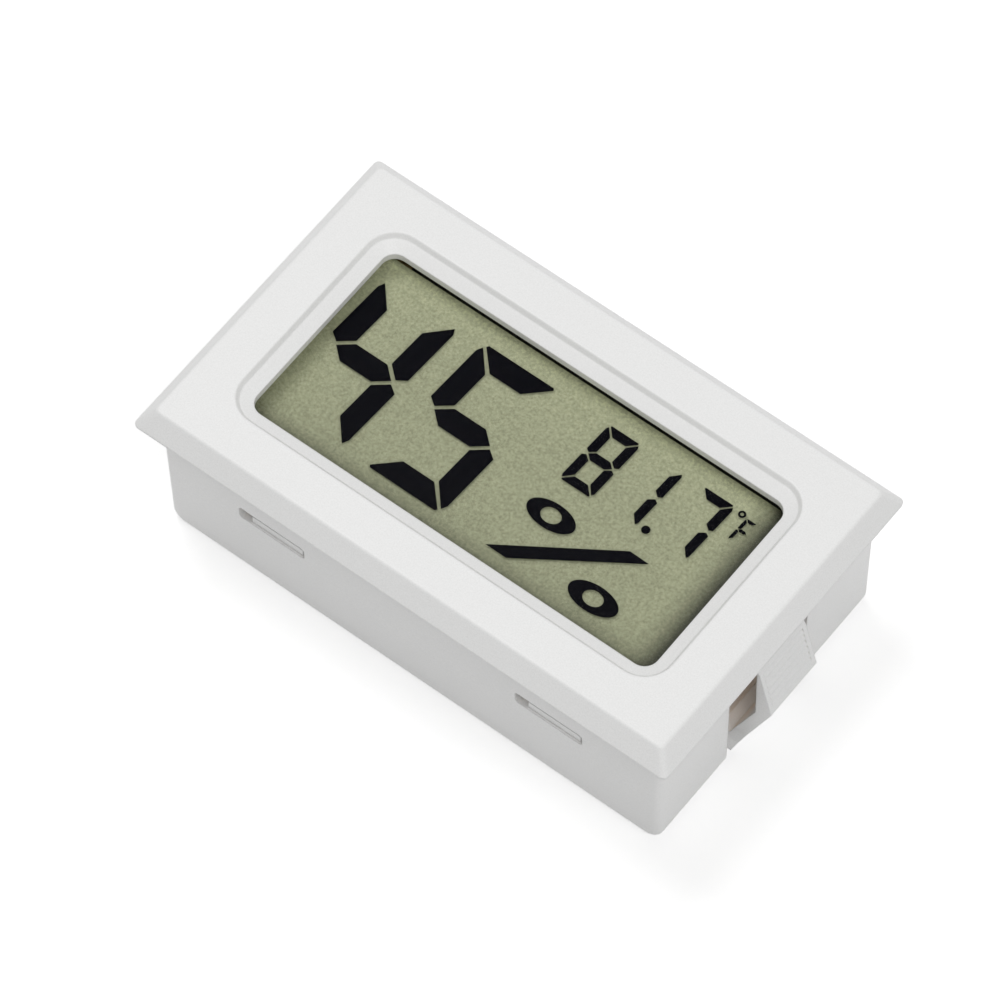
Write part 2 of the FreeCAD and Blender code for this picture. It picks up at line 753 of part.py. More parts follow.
def build_display():
    """Film, glass, glass and film with the reflector, the rubber connector and the foam strip."""
    build_slab("lcd_front_polariser", polariser_x, polariser_y, front_glass_top, size.polariser_thickness)
    build_slab("lcd_front_glass", glass_x, glass_y, front_glass_back, size.glass_thickness)
    shift = size.contact_ledge / 2
    build_slab("lcd_rear_glass", glass_x, glass_y - shift, rear_glass_back, size.glass_thickness, shift)
    far_edge = polariser_y - size.reflector_inset
    near_edge = size.contact_ledge + size.ledge_margin - glass_y
    build_slab("lcd_rear_polariser", polariser_x - size.reflector_inset, (far_edge - near_edge) / 2,
               reflector_back, size.polariser_thickness, (far_edge + near_edge) / 2)
    build_slab("zebra_connector", glass_x - size.connector_inset, shift - size.strip_margin, board_front,
               front_glass_back - board_front, shift - glass_y)
    foam_half = size.foam_width / 2
    build_slab("foam_spacer", polariser_x - size.foam_inset, foam_half, board_front, size.board_gap,
               polariser_y + size.foam_lap - foam_half)


def revolve(label, profile, axis_x, axis_y, base):
    """A turned piece about an upright axis, from (radius, height) corners."""
    body = new_body(label)
    sketch = new_sketch(body, "XZ_Plane", label + "_profile")
    add_outline(sketch, profile)
    turned = body.newObject("PartDesign::Revolution", label + "_turned")
    turned.Profile = sketch
    turned.ReferenceAxis = (sketch, ["V_Axis"])
    turned.Angle = 360
    for axis, value in (("x", axis_x), ("y", axis_y), ("z", base)):
        body.setExpression(f".Placement.Base.{axis}", value.text)
    return body


def build_cells():
    """Two button cells side by side, can to the door and cap to the board."""
    radius = size.cell_diameter / 2
    cap = radius - size.cell_shoulder
    height = cell_top - cell_base
    shoulder = height - size.cell_cap_height
    edge = size.cell_edge_round
    profile = [
        (ZERO, ZERO),
        (radius - edge, ZERO),
        (radius, edge),
        (radius, shoulder - edge),
        (radius - edge, shoulder),
        (cap, shoulder),
        (cap - edge / 2, height),
        (ZERO, height),
    ]
    for name, side in (("a", 1), ("b", -1)):
        revolve(f"button_cell_{name}", profile, cell_x * side, ZERO, cell_base)


def build_contacts():
    """Leaf springs on the cells' caps and clips on their sides, soldered to the board's back."""
    leaf = size.contact_thickness
    half = size.contact_base_half
    tip = size.contact_tip_reach
    flat = size.contact_tip_flat
    # how far the strip reaches past each bend, along the board and above the cell
    bend_reach = leaf * 1.6
    bend_lift = leaf * 1.2
    side_y = size.cell_diameter / 2
    for name, side in (("a", 1), ("b", -1)):
        body = new_body(f"negative_contact_{name}")
        sketch = new_sketch(body, "XZ_Plane", f"negative_profile_{name}")
        centre = cell_x * side
        add_outline(sketch, [
            (centre - half, board_back),
            (centre + half, board_back),
            (centre + half, board_back - bend_reach),
            (centre - tip + flat, cell_top),
            (centre - tip - flat, cell_top),
            (centre - half + flat / 2, cell_top + bend_lift),
            (centre - tip - flat, cell_top + bend_lift),
            (centre - tip + flat, cell_top + leaf),
            (centre + half - bend_reach, board_back - bend_lift),
            (centre + half - bend_reach, board_back - leaf),
            (centre - half, board_back - leaf),
        ])
        pad(body, sketch, size.contact_width, f"negative_leaf_{name}", both_ways=True)

        body = new_body(f"positive_contact_{name}")
        sketch = new_sketch(body, "YZ_Plane", f"positive_profile_{name}", centre)
        add_outline(sketch, [
            (-(side_y + leaf), board_back),
            (-(side_y + leaf), size.clip_foot),
            (-side_y, size.clip_foot),
            (-side_y, board_back - leaf),
            (-(side_y - size.clip_base), board_back - leaf),
            (-(side_y - size.clip_base), board_back),
        ])
        pad(body, sketch, size.contact_width, f"positive_strip_{name}", both_ways=True)


def cylinder(name, radius, height, x, y, z):
    """A bound upright cylinder."""
    item = doc.addObject("Part::Cylinder", name)
    item.setExpression("Radius", radius.text)
    item.setExpression("Height", height.text)
    for axis, value in (("x", x), ("y", y), ("z", z)):
        item.setExpression(f".Placement.Base.{axis}", value.text)
    return item


def block(name, length, width, height, x, y, z):
    """A bound box, centred on x and y, with its low face at z."""
    item = doc.addObject("Part::Box", name)
    for key, value in (("Length", length), ("Width", width), ("Height", height)):
        item.setExpression(key, value.text)
    for axis, value in (("x", x - length / 2), ("y", y - width / 2), ("z", z)):
        item.setExpression(f".Placement.Base.{axis}", value.text)
    return item


def group(label, members):
    """Several separate solids that share one node."""
    compound = doc.addObject("Part::Compound", label)
    compound.Label = label
    compound.Links = members
    parts.append(compound)


def build_board():
    """Circuit board with the chip under the display, and the sensors and small parts on its back."""
    build_slab("circuit_board", inside_back_x - size.board_clearance, inside_back_y - size.board_clearance,
               board_back, size.board_thickness, ZERO, size.board_corner)

    profile = [(ZERO, ZERO)]
    for step in range(DOME_STEPS):
        share = step / DOME_STEPS
        profile.append((size.chip_radius * (1 - share ** 2), size.chip_height * share))
    profile.append((ZERO, size.chip_height))
    revolve("chip_epoxy", profile, ZERO, ZERO, board_front)

    sensor_top = board_back - size.sensor_lead_length
    sensor = block("humidity_sensor", (bay_half - size.sensor_margin) * 2, size.sensor_length,
                   size.sensor_thickness, bay_middle, ZERO, sensor_top - size.sensor_thickness)
    sensor.Label = "humidity_sensor"
    parts.append(sensor)
    lead = size.lead_diameter / 2
    leads = []
    for name, side in (("a", 1), ("b", -1)):
        leads.append(cylinder(f"sensor_lead_{name}", lead, size.sensor_lead_length, bay_middle,
                              size.sensor_lead_pitch / 2 * side, sensor_top))
    group("humidity_sensor_leads", leads)

    bead = size.thermistor_diameter / 2
    bead_base = size.plate_thickness + size.thermistor_lift
    bead_top = board_back - size.thermistor_lead_length
    length = bead_top - bead_base
    # the bead is a dipped drop: its outline as shares of its radius and length
    profile = [(ZERO, ZERO)]
    for across, along in ((0.6, 0.06), (1, 0.4), (0.95, 0.75), (0.7, 1)):
        profile.append((bead * across, length * along))
    profile.append((ZERO, length))
    revolve("thermistor_bead", profile, -bay_middle, ZERO, bead_base)
    leads = []
    for name, side in (("a", 1), ("b", -1)):
        leads.append(cylinder(f"thermistor_lead_{name}", size.thermistor_lead_diameter / 2,
                              size.thermistor_lead_length, -bay_middle,
                              size.thermistor_lead_pitch / 2 * side, bead_top))
    group("thermistor_leads", leads)

    capacitors = []
    resistors = []
    for step in range(SMALL_PARTS):
        y = plate_y - size.tray_wall - size.small_part_inset - size.small_part_pitch * step
        capacitors.append(block(f"capacitor_{step}", size.capacitor_width, size.capacitor_length,
                                size.capacitor_height, -bay_middle, y, board_back - size.capacitor_height))
        resistors.append(block(f"resistor_{step}", size.resistor_width, size.resistor_length,
                               size.resistor_height, -bay_middle, -y, board_back - size.resistor_height))
    group("smd_capacitors", capacitors)
    group("smd_resistors", resistors)


build_front_shell()
build_rear_cover()
build_battery_door()
build_display()
build_board()
build_cells()
build_contacts()
doc.recompute()

for item in doc.Objects:
    if "Invalid" in item.State or "Error" in item.State:
        raise RuntimeError(f"{item.Label} failed: {item.State}")
for part in parts:
    if part.Shape.isNull() or not part.Shape.isValid() or not part.Shape.Solids:
        raise RuntimeError(f"{part.Label} has no valid solid")
os.makedirs("parts", exist_ok=True)
for part in parts:
    part.Shape.exportStep(f"parts/{part.Label}.step")
    box = part.Shape.BoundBox
    print(f"{part.Label}: {len(part.Shape.Solids)} solid, {part.Shape.Volume:.1f} mm3, "
          f"z {box.ZMin:.2f} to {box.ZMax:.2f}")
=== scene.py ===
import math

import bmesh
import bpy
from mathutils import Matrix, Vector


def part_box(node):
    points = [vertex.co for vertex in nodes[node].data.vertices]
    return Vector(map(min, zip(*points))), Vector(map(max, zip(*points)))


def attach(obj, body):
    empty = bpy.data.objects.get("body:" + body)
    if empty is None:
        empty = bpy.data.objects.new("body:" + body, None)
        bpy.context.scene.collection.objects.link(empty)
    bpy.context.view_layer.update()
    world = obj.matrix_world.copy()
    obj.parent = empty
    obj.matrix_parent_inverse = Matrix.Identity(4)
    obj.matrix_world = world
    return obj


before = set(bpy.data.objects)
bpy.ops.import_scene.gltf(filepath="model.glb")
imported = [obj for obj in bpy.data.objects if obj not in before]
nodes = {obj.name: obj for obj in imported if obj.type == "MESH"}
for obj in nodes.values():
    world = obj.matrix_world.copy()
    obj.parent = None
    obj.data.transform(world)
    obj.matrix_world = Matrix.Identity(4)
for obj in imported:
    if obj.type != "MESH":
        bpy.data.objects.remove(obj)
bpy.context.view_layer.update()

# The photograph's camera, fitted to the meter's edges: a long lens held about 30 degrees off the
# vertical, in front of the meter and to its right, so that the display, the near wall and the
# latch's end all show.
camera_place = (0.16754, -0.21296, 0.47007)
camera_turn = (30.3968, 0.4781, 37.6553)
focal_length = 266.33

lens = bpy.data.cameras.new("camera")
lens.lens = focal_length
lens.sensor_width = 36
lens.clip_start = 0.01
camera = bpy.data.objects.new("camera", lens)
camera.location = camera_place
camera.rotation_euler = [math.radians(angle) for angle in camera_turn]
bpy.context.scene.collection.objects.link(camera)
bpy.context.scene.camera = camera


# Studio light: a soft sky all round, a lamp above the meter, one before it and one on its right, with
# strengths fitted to the photograph. None stands where the display would mirror it to the camera.
# The background is white where it is seen.
sky_level = 0.356
sky_tint = (1.0, 1.0, 0.995, 1)
lamps = {
    "top_lamp": {"place": (-0.14, 0.05, 0.42), "size": 0.2, "watts": 0.62},
    "near_lamp": {"place": (0.25, -0.2, 0.55), "size": 0.2, "watts": 0.79},
    "right_lamp": {"place": (0.5, 0.0, 0.4), "size": 0.2, "watts": 0.34},
}
floor_half = 3.0
floor_gap = 0.00005
floor_glow = 0.43


def seen_directly(tree):
    """1 for rays that show the background itself: camera, mirror and see-through rays."""
    paths = tree.nodes.new("ShaderNodeLightPath")
    total = None
    for ray in ("Is Camera Ray", "Is Glossy Ray", "Is Transmission Ray"):
        if total is None:
            total = paths.outputs[ray]
        else:
            either = tree.nodes.new("ShaderNodeMath")
            either.operation = "MAXIMUM"
            tree.links.new(total, either.inputs[0])
            tree.links.new(paths.outputs[ray], either.inputs[1])
            total = either.outputs[0]
    return total


sky = bpy.data.worlds.new("studio_sky")
bpy.context.scene.world = sky
sky.use_nodes = True
tree = sky.node_tree
tree.nodes.clear()
dim = tree.nodes.new("ShaderNodeBackground")
dim.inputs["Color"].default_value = sky_tint
dim.inputs["Strength"].default_value = sky_level
white = tree.nodes.new("ShaderNodeBackground")
white.inputs["Color"].default_value = (1, 1, 1, 1)
white.inputs["Strength"].default_value = 1
choice = tree.nodes.new("ShaderNodeMixShader")
tree.links.new(seen_directly(tree), choice.inputs["Fac"])
tree.links.new(dim.outputs[0], choice.inputs[1])
tree.links.new(white.outputs[0], choice.inputs[2])
tree.links.new(choice.outputs[0], tree.nodes.new("ShaderNodeOutputWorld").inputs["Surface"])

for name, lamp in lamps.items():
    light = bpy.data.lights.new(name, "AREA")
    light.shape = "DISK"
    light.size = lamp["size"]
    light.energy = lamp["watts"]
    holder = bpy.data.objects.new(name, light)
    holder.location = lamp["place"]
    holder.rotation_euler = Vector(lamp["place"]).to_track_quat("Z", "Y").to_euler()
    bpy.context.scene.collection.objects.link(holder)

mesh = bpy.data.meshes.new("floor")
corners = ((-1, -1), (1, -1), (1, 1), (-1, 1))
mesh.from_pydata([(x * floor_half, y * floor_half, -floor_gap) for x, y in corners], [], [(0, 1, 2, 3)])
floor = bpy.data.objects.new("floor", mesh)
bpy.context.scene.collection.objects.link(floor)
paper = bpy.data.materials.new("floor_paper")
paper.use_nodes = True
tree = paper.node_tree
tree.nodes.clear()
matt = tree.nodes.new("ShaderNodeBsdfDiffuse")
matt.inputs["Color"].default_value = (0.8, 0.8, 0.8, 1)
glow = tree.nodes.new("ShaderNodeEmission")
glow.inputs["Color"].default_value = (floor_glow, floor_glow, floor_glow, 1)
shown = tree.nodes.new("ShaderNodeAddShader")
tree.links.new(matt.outputs[0], shown.inputs[0])
tree.links.new(glow.outputs[0], shown.inputs[1])
lit = tree.nodes.new("ShaderNodeMixShader")
tree.links.new(seen_directly(tree), lit.inputs["Fac"])
tree.links.new(matt.outputs[0], lit.inputs[1])
tree.links.new(shown.outputs[0], lit.inputs[2])
# the floor hides nothing from below, and lets light through to the back face that lies on it
see_through = tree.nodes.new("ShaderNodeBsdfTransparent")
sides = tree.nodes.new("ShaderNodeNewGeometry")
rays = tree.nodes.new("ShaderNodeLightPath")
touching = tree.nodes.new("ShaderNodeMath")
touching.operation = "LESS_THAN"
touching.inputs[1].default_value = 4 * floor_gap
tree.links.new(rays.outputs["Ray Length"], touching.inputs[0])
opened = tree.nodes.new("ShaderNodeMath")
opened.operation = "MAXIMUM"
tree.links.new(sides.outputs["Backfacing"], opened.inputs[0])
tree.links.new(touching.outputs[0], opened.inputs[1])
from_below = tree.nodes.new("ShaderNodeMixShader")
tree.links.new(opened.outputs[0], from_below.inputs["Fac"])
tree.links.new(lit.outputs[0], from_below.inputs[1])
tree.links.new(see_through.outputs[0], from_below.inputs[2])
tree.links.new(from_below.outputs[0], tree.nodes.new("ShaderNodeOutputMaterial").inputs["Surface"])
mesh.materials.append(paper)


# Front shell, rear cover and battery door: white ABS, injection moulded in steel tools with a fine
# spark-eroded skin. The skin scatters light evenly, with a faint unevenness of sheen from the flow.
plain_white = (0.87, 0.87, 0.865)
skin_colours = ((0.838, 0.838, 0.832), (0.902, 0.902, 0.897))
skin_waves = 9000
skin_depth = 0.000006
flow_waves = 60
# painted shade: the darker, warmer colour painted into recesses
painted_recess_colour = (0.95, 0.82, 0.7)
recess_reach = 0.004
moulded_edge = 0.00014


def new_finish(name, colour, roughness):
    """An empty finish with a Principled shader: returns the material, its tree and the shader."""
    finish = bpy.data.materials.new(name)
    finish.use_nodes = True
    tree = finish.node_tree
    shader = tree.nodes["Principled BSDF"]
    shader.inputs["Base Color"].default_value = (*colour, 1)
    shader.inputs["Roughness"].default_value = roughness
    return finish, tree, shader


def place_of(tree):
    """The point on the piece itself, in metres, so that a grain rides with the piece."""
    return tree.nodes.new("ShaderNodeTexCoord").outputs["Object"]


def grain(tree, scale, detail=2.0, stretch=None):
    """Fine noise fixed to the piece. The scale is in waves per metre, and stretch squeezes an axis."""
    noise = tree.nodes.new("ShaderNodeTexNoise")
    noise.inputs["Scale"].default_value = scale
    noise.inputs["Detail"].default_value = detail
    source = place_of(tree)
    if stretch is not None:
        squeeze = tree.nodes.new("ShaderNodeMapping")
        squeeze.inputs["Scale"].default_value = stretch
        tree.links.new(source, squeeze.inputs["Vector"])
        source = squeeze.outputs["Vector"]
    tree.links.new(source, noise.inputs["Vector"])
    return noise.outputs["Fac"]


def spread(tree, value, low, high, value_low=0.3, value_high=0.7):
    """The noise turned into a range, such as of roughness."""
    ramp = tree.nodes.new("ShaderNodeMapRange")
    ramp.inputs["From Min"].default_value = value_low
    ramp.inputs["From Max"].default_value = value_high
    ramp.inputs["To Min"].default_value = low
    ramp.inputs["To Max"].default_value = high
    tree.links.new(value, ramp.inputs["Value"])
    return ramp.outputs["Result"]


def tint(tree, value, dark, light):
    """A colour between two others, led by a value from 0 to 1."""
    blend = tree.nodes.new("ShaderNodeMix")
    blend.data_type = "RGBA"
    blend.inputs["A"].default_value = (*dark, 1)
    blend.inputs["B"].default_value = (*light, 1)
    tree.links.new(value, blend.inputs["Factor"])
    return blend.outputs["Result"]


def relief(tree, shader, height, depth, soft_edge=None):
    """Bump from a height, over edges that are softened by a small radius."""
    bump = tree.nodes.new("ShaderNodeBump")
    bump.inputs["Distance"].default_value = depth
    bump.inputs["Strength"].default_value = 1
    tree.links.new(height, bump.inputs["Height"])
    if soft_edge is not None:
        edge = tree.nodes.new("ShaderNodeBevel")
        edge.samples = 6
        edge.inputs["Radius"].default_value = soft_edge
        tree.links.new(edge.outputs["Normal"], bump.inputs["Normal"])
    tree.links.new(bump.outputs["Normal"], shader.inputs["Normal"])


def dress(piece, finish):
    """The piece's one finish."""
    piece.data.materials.clear()
    piece.data.materials.append(finish)


white_abs, tree, shader = new_finish("white_abs", plain_white, 0.42)
flow = grain(tree, flow_waves, 3)
skin = grain(tree, skin_waves, 2)
open_colour = tint(tree, spread(tree, skin, 0, 1), *skin_colours)
# painted shade: the colour turns darker and warmer in recesses, standing in for light that is thrown about
# there and picks up the faint warmth of the plastic
recess = tree.nodes.new("ShaderNodeAmbientOcclusion")
recess.samples = 8
recess.only_local = True
recess.inputs["Distance"].default_value = recess_reach
painted_recess_tint = tree.nodes.new("ShaderNodeMix")
painted_recess_tint.data_type = "RGBA"
painted_recess_tint.inputs["A"].default_value = (*painted_recess_colour, 1)
tree.links.new(spread(tree, recess.outputs["AO"], 0, 1, 0.08, 0.5), painted_recess_tint.inputs["Factor"])
tree.links.new(open_colour, painted_recess_tint.inputs["B"])
tree.links.new(painted_recess_tint.outputs["Result"], shader.inputs["Base Color"])
tree.links.new(spread(tree, flow, 0.38, 0.46), shader.inputs["Roughness"])
shader.inputs["Specular IOR Level"].default_value = 0.45
relief(tree, shader, skin, skin_depth, soft_edge=moulded_edge)
for name in ("front_shell", "rear_cover", "battery_door"):
    dress(nodes[name], white_abs)


# Display: two glass plates with liquid crystal between them, a polariser film on the front, and a
# film with a grey-green reflector on the back. The plates drop into the shell behind the window.
mm = 0.001
film_waves = 5000
# painted shade: the dim olive tint that light takes through the display's cut edges, besides the dark seal
cut_edge_shade = (0.13, 0.14, 0.095)
# light passes six faces on its way to the reflector and six on its way back, and more past a cut edge
faces_passed = 24


def clear_layer(name, colour, haze, face_gloss, edge_gloss):
    """A layer that lets light straight through, tinted, with a weak mirror gloss on its two faces.
    Its cut edges are glossier and dim: partly the dark seal round the cell, partly painted shade in the
    dark olive of the reflector in the lip's shadow."""
    finish = bpy.data.materials.new(name)
    finish.use_nodes = True
    tree = finish.node_tree
    tree.nodes.clear()
    through = tree.nodes.new("ShaderNodeBsdfTransparent")
    gloss = tree.nodes.new("ShaderNodeBsdfGlossy")
    gloss.inputs["Color"].default_value = (1, 1, 1, 1)
    blur = spread(tree, grain(tree, film_waves, 2), haze * 0.8, haze * 1.2)
    tree.links.new(blur, gloss.inputs["Roughness"])
    slope = tree.nodes.new("ShaderNodeNewGeometry")
    upright = tree.nodes.new("ShaderNodeSeparateXYZ")
    tree.links.new(slope.outputs["Normal"], upright.inputs["Vector"])
    flat = tree.nodes.new("ShaderNodeMath")
    flat.operation = "ABSOLUTE"
    tree.links.new(upright.outputs["Z"], flat.inputs[0])
    tree.links.new(tint(tree, flat.outputs[0], cut_edge_shade, colour), through.inputs["Color"])
    share = spread(tree, flat.outputs[0], edge_gloss, face_gloss, 0, 1)
    layer = tree.nodes.new("ShaderNodeMixShader")
    tree.links.new(share, layer.inputs["Fac"])
    tree.links.new(through.outputs[0], layer.inputs[1])
    tree.links.new(gloss.outputs[0], layer.inputs[2])
    tree.links.new(layer.outputs[0], tree.nodes.new("ShaderNodeOutputMaterial").inputs["Surface"])
    return finish


bpy.context.scene.cycles.transparent_max_bounces = faces_passed
film = clear_layer("polariser_film", (0.93, 0.93, 0.9), 0.14, 0.0015, 0.1)
plate = clear_layer("display_glass", (0.985, 0.99, 0.985), 0.05, 0.0, 0.2)
dress(nodes["lcd_front_polariser"], film)
dress(nodes["lcd_front_glass"], plate)
dress(nodes["lcd_rear_glass"], plate)

reflector, tree, shader = new_finish("reflector_film", (0.56, 0.58, 0.45), 0.6)
speck = grain(tree, film_waves, 3)
film_colour = tint(tree, spread(tree, speck, 0, 1), (0.394, 0.402, 0.287), (0.616, 0.626, 0.457))
# how pale the film is along the display (X) and up it (Y), by place in millimetres: painted shade darkens
# its right and near edges, where the lip's shadow falls, and painted light makes it paler inside the
# others, standing in for light that glass bends in under the lip; these factors were fitted to the
# photograph's brightness and are no known property of the film
painted_lip_shade = {
    "X": [(-18.6, 1.1), (-17.8, 1.28), (-17.1, 1.08), (-13, 1.0), (12, 1.0), (14.9, 1.04), (15.9, 0.85),
          (16.7, 0.4), (17.15, 0.13)],
    "Y": [(-7.35, 0.36), (-7.1, 0.55), (-6.2, 0.8), (-4.5, 0.87), (4, 0.93), (7.1, 1.03), (7.9, 1.18),
          (8.5, 1.5), (9.16, 0.9)],
}
along = tree.nodes.new("ShaderNodeSeparateXYZ")
tree.links.new(place_of(tree), along.inputs["Vector"])
for side, stops in painted_lip_shade.items():
    first, last = stops[0][0], stops[-1][0]
    ramp = tree.nodes.new("ShaderNodeValToRGB")
    tree.links.new(spread(tree, along.outputs[side], 0, 1, first * mm, last * mm), ramp.inputs["Fac"])
    marks = ramp.color_ramp.elements
    marks[0].color = (*[stops[0][1]] * 3, 1)
    marks[1].color = (*[stops[-1][1]] * 3, 1)
    for place, level in stops[1:-1]:
        marks.new((place - first) / (last - first)).color = (*[level] * 3, 1)
    shaded = tree.nodes.new("ShaderNodeMix")
    shaded.data_type = "RGBA"
    shaded.blend_type = "MULTIPLY"
    shaded.inputs["Factor"].default_value = 1
    tree.links.new(film_colour, shaded.inputs["A"])
    tree.links.new(ramp.outputs["Color"], shaded.inputs["B"])
    film_colour = shaded.outputs["Result"]
tree.links.new(film_colour, shader.inputs["Base Color"])
relief(tree, shader, speck, 0.00001)
dress(nodes["lcd_rear_polariser"], reflector)


# Segments of the display: thin areas of liquid crystal that turn dark, between the two plates.
# They show two large digits of humidity over a percent sign, and three small ones of temperature.
crystal_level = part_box("lcd_front_glass")[0].z
crystal_depth = 0.00002
shadow_share = 0.4
dark_crystal, tree, shader = new_finish("dark_segments", (0.002, 0.002, 0.005), 0.35)
tree.links.new(spread(tree, grain(tree, 3000), 0.3, 0.4), shader.inputs["Roughness"])
shader.inputs["Specular IOR Level"].default_value = 0.02
# light reaches the reflector from all sides under the thin segments, so most of their shadow is lost
paths = tree.nodes.new("ShaderNodeLightPath")
passed = tree.nodes.new("ShaderNodeMath")
passed.operation = "MULTIPLY"
passed.inputs[1].default_value = 1 - shadow_share
tree.links.new(paths.outputs["Is Shadow Ray"], passed.inputs[0])
unseen = tree.nodes.new("ShaderNodeBsdfTransparent")
segment = tree.nodes.new("ShaderNodeMixShader")
tree.links.new(passed.outputs[0], segment.inputs["Fac"])
tree.links.new(shader.outputs[0], segment.inputs[1])
tree.links.new(unseen.outputs[0], segment.inputs[2])
tree.links.new(segment.outputs[0], tree.nodes["Material Output"].inputs["Surface"])

# which of the seven segments each digit lights: a top, b and c right, d foot, e and f left, g middle
LIT = {"1": "bc", "4": "fbgc", "5": "afgcd", "7": "abc", "8": "abcdefg", "F": "aefg"}


def digit_outlines(sign, centre, half_width, half_height, stroke, gap, slant):
    """The lit segments of one digit as outlines in millimetres on the display."""
    w, h, s, g = half_width, half_height, stroke, gap
    half_top = [(w - 1.7 * g, h), (w - 1.3 * g, h - 0.6 * g), (w - s - 0.7 * g, h - s)]
    top = half_top + [(-x, y) for x, y in reversed(half_top)]
    upper = [(w - 0.8 * g, h - 1.2 * g), (w, h - 2.8 * g), (w, 0.4 * s), (w - 0.4 * s, g * 0.8),
             (w - s, 0.63 * s), (w - s, h - s - 0.8 * g)]
    bar = [(w - 0.5 * s, 0), (w - s - 0.1 * s, s / 2), (-(w - 1.1 * s), s / 2), (-(w - 0.5 * s), 0),
           (-(w - 1.1 * s), -s / 2), (w - 1.1 * s, -s / 2)]
    shapes = {
        "a": top,
        "b": upper,
        "c": [(x, -y) for x, y in upper],
        "d": [(x, -y) for x, y in top],
        "e": [(-x, -y) for x, y in upper],
        "f": [(-x, y) for x, y in upper],
        "g": bar,
    }
    placed = []
    for segment in LIT[sign]:
        placed.append([(centre[0] + x + slant * y, centre[1] + y) for x, y in shapes[segment]])
    return placed


def ellipse(centre, half_x, half_y, steps=40):
    """An oval outline."""
    turns = [2 * math.pi * step / steps for step in range(steps)]
    return [(centre[0] + half_x * math.cos(turn), centre[1] + half_y * math.sin(turn)) for turn in turns]


def thin_layer(name, level, outlines, rings=()):
    """One thin piece with a flat area for each outline and a flat ring for each pair of ovals."""
    build = bmesh.new()
    for outline in outlines:
        build.faces.new([build.verts.new((x * mm, y * mm, level)) for x, y in outline])
    for outer, inner in rings:
        rim = [build.verts.new((x * mm, y * mm, level)) for x, y in outer]
        hole = [build.verts.new((x * mm, y * mm, level)) for x, y in inner]
        for i in range(len(rim)):
            j = (i + 1) % len(rim)
            build.faces.new((rim[i], rim[j], hole[j], hole[i]))
    bmesh.ops.recalc_face_normals(build, faces=build.faces)
    lifted = bmesh.ops.extrude_face_region(build, geom=build.faces[:])
    tops = [item for item in lifted["geom"] if isinstance(item, bmesh.types.BMVert)]
    bmesh.ops.translate(build, verts=tops, vec=(0, 0, crystal_depth))
    bmesh.ops.recalc_face_normals(build, faces=build.faces)
    mesh = bpy.data.meshes.new(name)
    build.to_mesh(mesh)
    build.free()
    piece = bpy.data.objects.new(name, mesh)
    bpy.context.scene.collection.objects.link(piece)
    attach(piece, "housing")
    return piece


def print_segments(name, outlines, rings=()):
    """Segments of dark crystal on the back of the front plate."""
    piece = thin_layer(name, crystal_level, outlines, rings)
    dress(piece, dark_crystal)


large = {"half_width": 3.47, "half_height": 6.65, "stroke": 1.85, "gap": 0.3, "slant": 0.0445}
for name, sign, x in (("segments_tens", "4", -14.45), ("segments_units", "5", -5.41)):
    print_segments(name, digit_outlines(sign, (x, 0.44), **large))
small = {"half_width": 1.45, "half_height": 2.86, "stroke": 0.75, "gap": 0.15, "slant": 0.04}
small_outlines = []
for sign, x in (("8", 4.22), ("1", 8.145), ("7", 12.7)):
    small_outlines += digit_outlines(sign, (x, 4.24), **small)
unit = {"half_width": 0.475, "half_height": 1.1, "stroke": 0.26, "gap": 0.07, "slant": 0.05}
small_outlines += digit_outlines("F", (15.85, 5.73), **unit)
small_outlines.append(ellipse((10.26, 1.69), 0.34, 0.34))
degree = (ellipse((14.975, 6.9), 0.30, 0.30), ellipse((14.975, 6.9), 0.14, 0.14))
print_segments("segments_temperature", small_outlines, [degree])
slash = [(10.44, -0.41), (12.16, -0.44), (3.75, -6.21), (1.875, -6.21)]
percent_rings = [
    (ellipse((4.175, -1.51), 2.075, 1.10), ellipse((4.15, -1.49), 0.84, 0.64)),
    (ellipse((10.70, -5.11), 2.11, 1.11), ellipse((10.68, -5.1), 0.83, 0.64)),
]
print_segments("segments_percent", [slash], percent_rings)


# Reflector as the glass shows it: glass makes what lies under it look a third nearer, so a thin sheet
# of the reflector's film stands at that depth, in front of the film that is glued to the back.
glass_bend = 1.5
far_inset = 0.24
film_low, film_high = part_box("lcd_rear_polariser")
cell_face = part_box("lcd_front_polariser")[1].z
plate_low, plate_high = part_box("lcd_rear_glass")
left, right, near, far = plate_low.x / mm, plate_high.x / mm, film_low.y / mm, film_high.y / mm - far_inset
sheet = thin_layer("reflector_image", cell_face - (cell_face - film_high.z) / glass_bend,
                   [[(left, near), (right, near), (right, far), (left, far)]])
dress(sheet, reflector)


# Rubber connector and foam strip: the connector is silicone with hair-thin conducting layers, and
# is squeezed between the board and the plate's ledge. The foam presses the plates to the window.
rubber, tree, shader = new_finish("connector_rubber", (0.75, 0.72, 0.7), 0.6)
layers = tree.nodes.new("ShaderNodeTexWave")
layers.inputs["Scale"].default_value = 1500
tree.links.new(place_of(tree), layers.inputs["Vector"])
layer_colour = tint(tree, layers.outputs["Fac"], (0.12, 0.12, 0.12), (0.72, 0.66, 0.63))
tree.links.new(layer_colour, shader.inputs["Base Color"])
relief(tree, shader, grain(tree, 3000), 0.00002)
dress(nodes["zebra_connector"], rubber)

foam, tree, shader = new_finish("foam_rubber", (0.02, 0.02, 0.02), 0.9)
cells = tree.nodes.new("ShaderNodeTexVoronoi")
cells.inputs["Scale"].default_value = 4000
tree.links.new(place_of(tree), cells.inputs["Vector"])
cell_colour = tint(tree, cells.outputs["Distance"], (0.008, 0.008, 0.008), (0.03, 0.03, 0.03))
tree.links.new(cell_colour, shader.inputs["Base Color"])
relief(tree, shader, cells.outputs["Distance"], 0.00006)
dress(nodes["foam_spacer"], foam)


